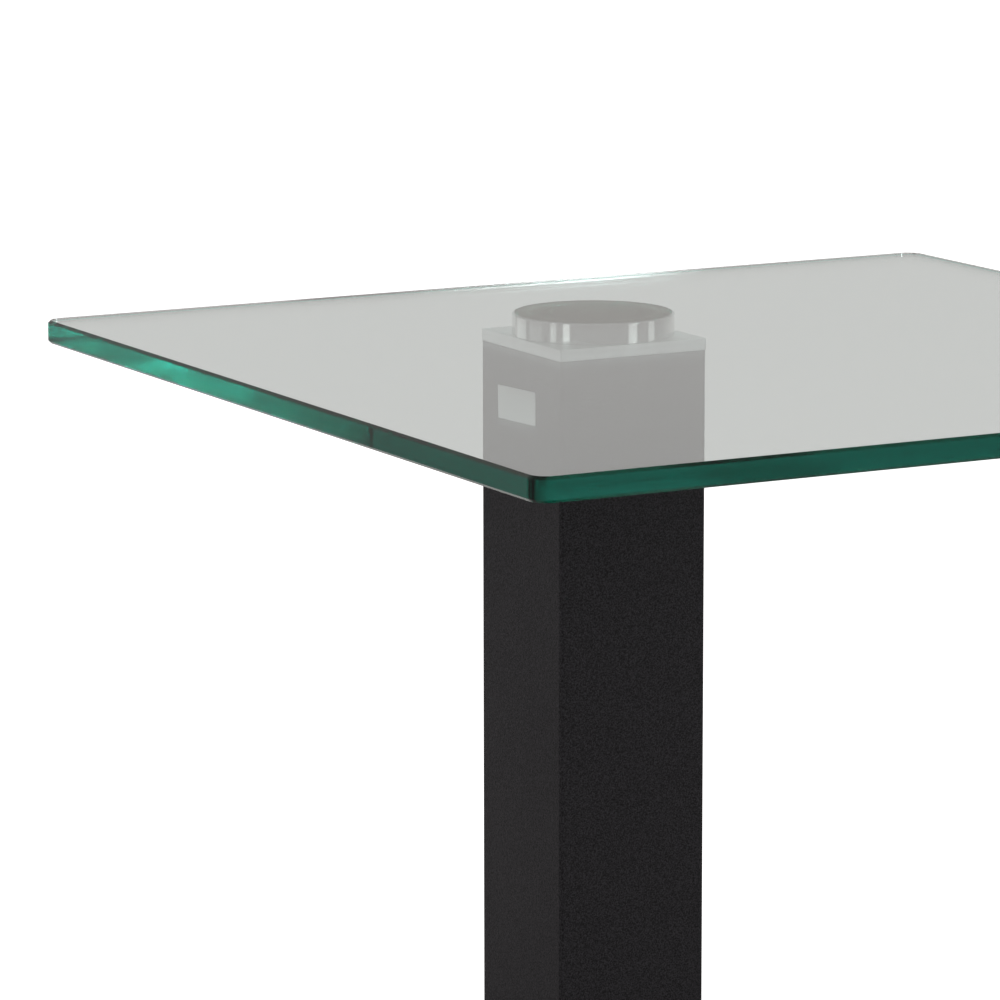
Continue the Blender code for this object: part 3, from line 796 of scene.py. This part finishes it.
def add_camera():
    camera = bpy.data.cameras.new("camera")
    camera.lens, camera.sensor_width, camera.clip_end = CAMERA_LENS, CAMERA_SENSOR, CAMERA_REACH
    holder = bpy.data.objects.new("camera", camera)
    tilt = Matrix.Rotation(math.pi / 2 - CAMERA_PITCH, 4, "X")
    turn = Matrix.Rotation(CAMERA_HEADING, 4, "Z") @ tilt
    place = Matrix.Translation(CAMERA_PLACE)
    holder.matrix_world = place @ turn @ Matrix.Rotation(CAMERA_ROLL, 4, "Z")
    bpy.context.scene.collection.objects.link(holder)
    bpy.context.scene.camera = holder


def seen_directly(tree):
    return node(tree, "LightPath").outputs["Is Camera Ray"]


def studio_tint(tree, direction, front, through_glass, back):
    """The studio's grey, lighter behind the object. In front it depends on whether the ray has
    just come out of glass."""
    through = node(tree, "LightPath").outputs["Is Transmission Ray"]
    return mix_colour(tree, backness(tree, direction),
                      mix_colour(tree, through, front, through_glass), back)


def backness(tree, direction):
    """0 in front of the object and at its sides, rising to 1 behind it."""
    level = vector_node(tree, "MULTIPLY", direction, (1.0, 1.0, 0.0))
    along = vector_node(tree, "DOT_PRODUCT", vector_node(tree, "NORMALIZE", level), BACK)
    return map_range(tree, along, 0.25, 1.0, 0.0, 1.0, smooth=True)


def floor(centre):
    """A wide pale floor, with painted shade round the object. It can't be seen from below."""
    bm = bmesh.new()
    bmesh.ops.create_grid(bm, x_segments=2, y_segments=2, size=FLOOR_HALF_SIZE)
    mesh = bpy.data.meshes.new("floor")
    bm.to_mesh(mesh)
    bm.free()
    made = bpy.data.objects.new("floor", mesh)
    made.location.z = -FLOOR_DROP
    bpy.context.scene.collection.objects.link(made)
    material = bpy.data.materials.new("pale_floor")
    material.use_nodes = True
    tree = material.node_tree
    tree.nodes.clear()
    place = node(tree, "NewGeometry").outputs["Position"]
    offset = vector_node(tree, "SUBTRACT", place, centre)
    # Painted shade: the floor's own glow dims towards the object, so the floor is darker round its
    # foot than far off.
    glow_with_painted_shade = map_range(tree, vector_node(tree, "LENGTH", offset), 0.5, 1.6, 0.42, 1.0, smooth=True)
    diffuse = node(tree, "BsdfDiffuse", Color=grey(0.80)).outputs[0]
    direct = node(tree, "Emission", Color=grey(1.0), Strength=glow_with_painted_shade).outputs[0]
    lit = node(tree, "AddShader", None, [diffuse, direct]).outputs[0]
    tint = studio_tint(tree, offset, FLOOR_FRONT, FLOOR_THROUGH_GLASS, FLOOR_BACK)
    indirect = node(tree, "Emission", Color=tint, Strength=1.0).outputs[0]
    face = node(tree, "MixShader", None, [seen_directly(tree), indirect, lit]).outputs[0]
    under = node(tree, "NewGeometry").outputs["Backfacing"]
    hidden = node(tree, "BsdfTransparent").outputs[0]
    both = node(tree, "MixShader", None, [under, face, hidden]).outputs[0]
    output = node(tree, "OutputMaterial")
    tree.links.new(both, output.inputs["Surface"])
    mesh.materials.append(material)
    material.cycles.emission_sampling = "NONE"


def room():
    """White to the camera, and a grey studio, lighter behind the object, to reflections."""
    world = bpy.data.worlds.new("studio")
    bpy.context.scene.world = world
    world.use_nodes = True
    tree = world.node_tree
    tree.nodes.clear()
    direction = node(tree, "TexCoord").outputs["Generated"]
    rise = map_range(tree, node(tree, "SeparateXYZ", Vector=direction).outputs["Z"],
                     *STEEP_RISE, 0.0, 1.0, smooth=True)
    through = mix_colour(tree, rise, ROOM_THROUGH_GLASS, FLOOR_THROUGH_GLASS)
    tint = studio_tint(tree, direction, ROOM_FRONT, through, ROOM_BACK)
    studio = node(tree, "Background", Color=tint, Strength=1.0).outputs[0]
    backdrop = node(tree, "Background", Color=grey(1.0), Strength=1.0).outputs[0]
    both = node(tree, "MixShader", None, [seen_directly(tree), studio, backdrop]).outputs[0]
    output = node(tree, "OutputWorld")
    tree.links.new(both, output.inputs["Surface"])


def panel(name, centre, direction, distance, left, right, low, high, radiance):
    """An upright rectangular light across direction from the post's axis. left and right are its
    sides, from that line towards the camera's right. radiance is its brightness when seen."""
    light = bpy.data.lights.new(name, "AREA")
    light.shape = "RECTANGLE"
    light.size, light.size_y = right - left, high - low
    light.energy = radiance * math.pi * light.size * light.size_y
    holder = bpy.data.objects.new(name, light)
    out = Vector((direction[0], direction[1], 0.0)).normalized()
    across = Vector((-out.y, out.x, 0.0))
    spot = Vector((centre.x, centre.y, (low + high) / 2))
    holder.location = spot + out * distance + across * (left + right) / 2
    holder.rotation_euler = (-out).to_track_quat("-Z", "Y").to_euler()
    holder.visible_camera = False
    bpy.context.scene.collection.objects.link(holder)
    return holder


def linked(name, item, state):
    """A collection that makes a light shine on one object only, or on all but that one."""
    made = bpy.data.collections.new(name)
    made.objects.link(item)
    made.collection_objects[0].light_linking.link_state = state
    return made


def lights(centre, glass, tube, disc):
    """High panels light everything but the glass, which stays free of their mirror images. Low
    ones are the streaks in the disc's side. A wide one fills the post's right face. Narrow slats
    beside the object shine on rays that have run lengthways through the glass, edge to edge."""
    high, low, tall = (0.55, 1.90), (0.05, 0.55), (0.20, 1.90)
    others = linked("all_but_glass", glass, "EXCLUDE")
    disc_only = linked("disc_only", disc, "INCLUDE")
    post_only = linked("post_only", tube, "INCLUDE")
    glass_only = linked("glass_only", glass, "INCLUDE")
    for name, receivers, direction, half_width, span, radiance in (
        ("front_right", others, FRONT_RIGHT, 0.14, high, 8.0),
        ("right", others, RIGHT, 0.16, high, 6.2),
        ("left", others, LEFT, 0.24, high, 9.6),
        ("far_left", others, FAR_LEFT, 0.15, high, 7.0),
        ("side_left", others, (-0.881, 0.474), 0.55, tall, 0.24),
        ("rear_left", others, (-0.4735, 0.8808), 0.60, tall, 0.52),
        ("low_front_right", disc_only, FRONT_RIGHT, 0.30, low, 1.05),
        ("low_right", disc_only, RIGHT, 0.26, low, 0.75),
        ("low_left", disc_only, LEFT, 0.22, low, 1.05),
        ("low_far_left", disc_only, FAR_LEFT, 0.22, low, 0.65),
        ("post_fill", post_only, FRONT_RIGHT, 0.50, (0.05, 1.20), 2.2),
    ):
        made = panel(name, centre, direction, PANEL_DISTANCE, -half_width, half_width, *span, radiance)
        made.light_linking.receiver_collection = receivers
    slats = ((0.030, 0.086, 3.3), (0.086, 0.128, 42.0), (0.128, 0.152, 8.0))
    for number, (start, end, radiance) in enumerate(slats):
        slat = panel(f"slat_{number}", centre, FRONT_RIGHT, SLAT_DISTANCE, start, end, *SLAT_SPAN,
                     radiance)
        slat.visible_diffuse = slat.visible_glossy = False
        slat.light_linking.receiver_collection = glass_only
        slat.data.use_nodes = True
        tree = slat.data.node_tree
        bounces = node(tree, "LightPath").outputs["Ray Depth"]
        connect(tree, math_node(tree, "GREATER_THAN", bounces, LENGTHWAYS_BOUNCES),
                tree.nodes["Emission"].inputs["Strength"])


def studio(glass, tube, disc):
    scene = bpy.context.scene
    scene.view_settings.view_transform = "Standard"
    scene.cycles.max_bounces = 40
    scene.cycles.glossy_bounces = 32
    scene.cycles.transmission_bounces = 32
    low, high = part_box("post_tube")
    centre = Vector(((low.x + high.x) / 2, (low.y + high.y) / 2, 0.0))
    floor(centre)
    room()
    lights(centre, glass, tube, disc)


def main():
    coat, zinc = powder_coat(), zinc_plate()
    steel = turned_steel("turned_steel", (0.48, 0.48, 0.465, 1.0), (0.74, 0.735, 0.715, 1.0))
    wetted = turned_steel("wetted_steel", (0.0, 0.0, 0.0, 1.0), (0.62, 0.67, 0.57, 1.0))
    aluminium = milled_aluminium()
    nylon = moulded("black_nylon", (0.020, 0.020, 0.021, 1.0), (0.034, 0.034, 0.035, 1.0),
                    900.0, 0.38, 0.52, 0.00004)
    rubber = moulded("black_rubber", (0.014, 0.014, 0.014, 1.0), (0.026, 0.025, 0.024, 1.0),
                     1600.0, 0.72, 0.90, 0.00005)
    add_camera()
    studio(glass_plate(clear_glass()), post(coat), turned_disc(steel))
    bonded_face(wetted)
    post_cap(brushed_steel())
    sticker(label_paper())
    base(coat)
    clamp_stack(zinc)
    base_screws(zinc)
    for number in range(1, 5):
        foot(number, zinc, nylon, rubber)
    for name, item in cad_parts.items():
        item.data.materials.clear()
        item.data.materials.append(aluminium if name.endswith("spigot") else zinc)


main()
